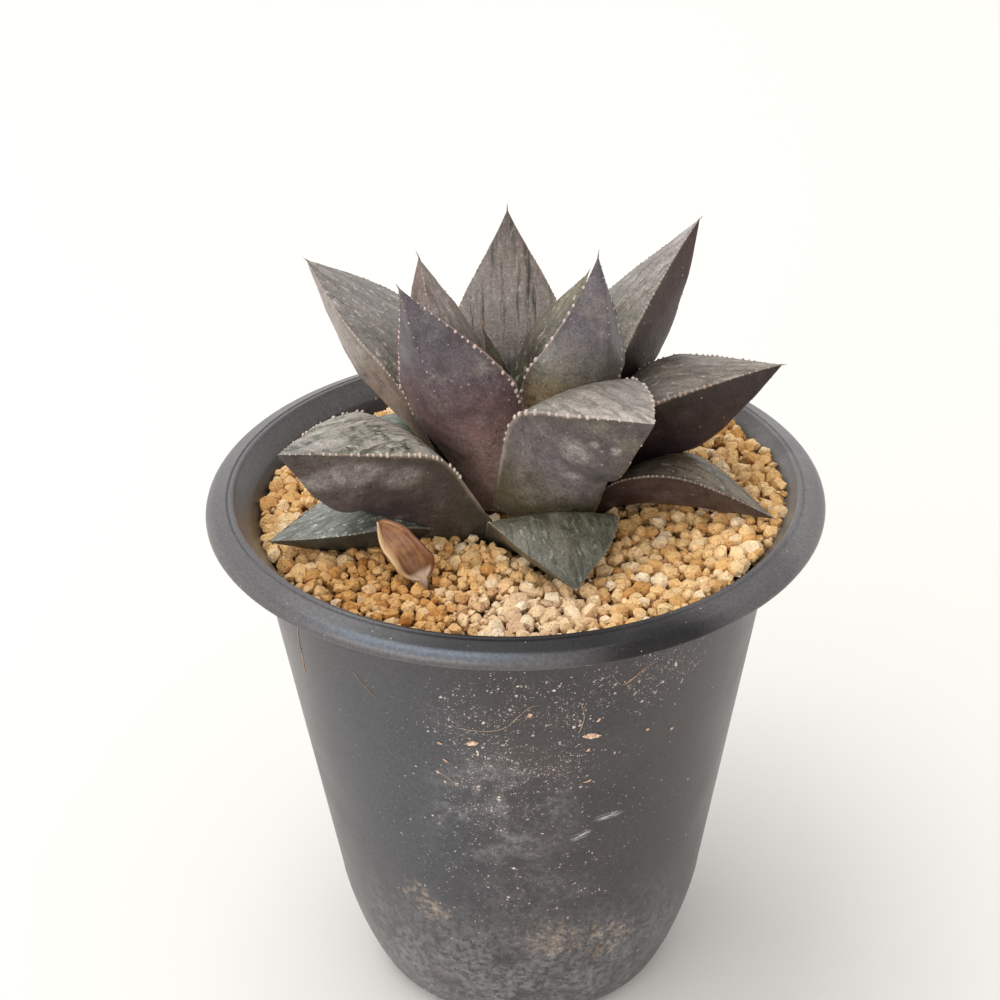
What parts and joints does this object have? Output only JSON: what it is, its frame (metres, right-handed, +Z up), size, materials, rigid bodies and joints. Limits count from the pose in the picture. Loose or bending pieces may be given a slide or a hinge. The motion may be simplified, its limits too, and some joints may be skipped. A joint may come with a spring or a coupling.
{
  "type": "potted haworthia",
  "caption": "Small haworthia, a rosette of thick keeled, pointed leaves edged with pale teeth, growing in granular soil in a tapered round plastic nursery pot with a wide rim.",
  "frame": {"origin": "centre of the pot's foot, on the surface that the pot stands on", "axes": "+Z up along the pot's axis; +Y away from the picture's camera, +X to its right"},
  "size_m": [0.09, 0.09, 0.1187],
  "materials": {
    "pot_plastic": "black moulded plastic with a satin sheen, lightly scratched and dusty",
    "soil_granules": "dry mineral granules in cream, tan and orange-brown",
    "stem": "hidden greenish stem",
    "leaf": "waxy, rough leaf skin in grey-purple and grey-green with pale flecks and pale teeth",
    "young_leaf": "waxy young leaf skin, olive green",
    "dry_leaf": "papery, matt, orange-brown with a cream edge"
  },
  "bodies": {
    "root": {"pot": "pot_plastic", "soil": "soil_granules", "stem": "stem", "leaf_dry": "dry_leaf", "leaf_lower_left": "leaf", "leaf_lower_front": "leaf", "leaf_lower_right": "leaf", "leaf_lower_back_left": "leaf", "leaf_lower_back": "leaf", "leaf_lower_back_right": "leaf", "leaf_middle_left": "leaf", "leaf_middle_front": "leaf", "leaf_middle_right": "leaf", "leaf_upper_front_left": "leaf", "leaf_upper_left": "leaf", "leaf_upper_back": "leaf", "leaf_upper_right": "leaf", "leaf_inner_left": "leaf", "leaf_inner_right": "leaf", "leaf_heart": "young_leaf", "leaf_inner_back": "young_leaf"}
  },
  "joints": []
}
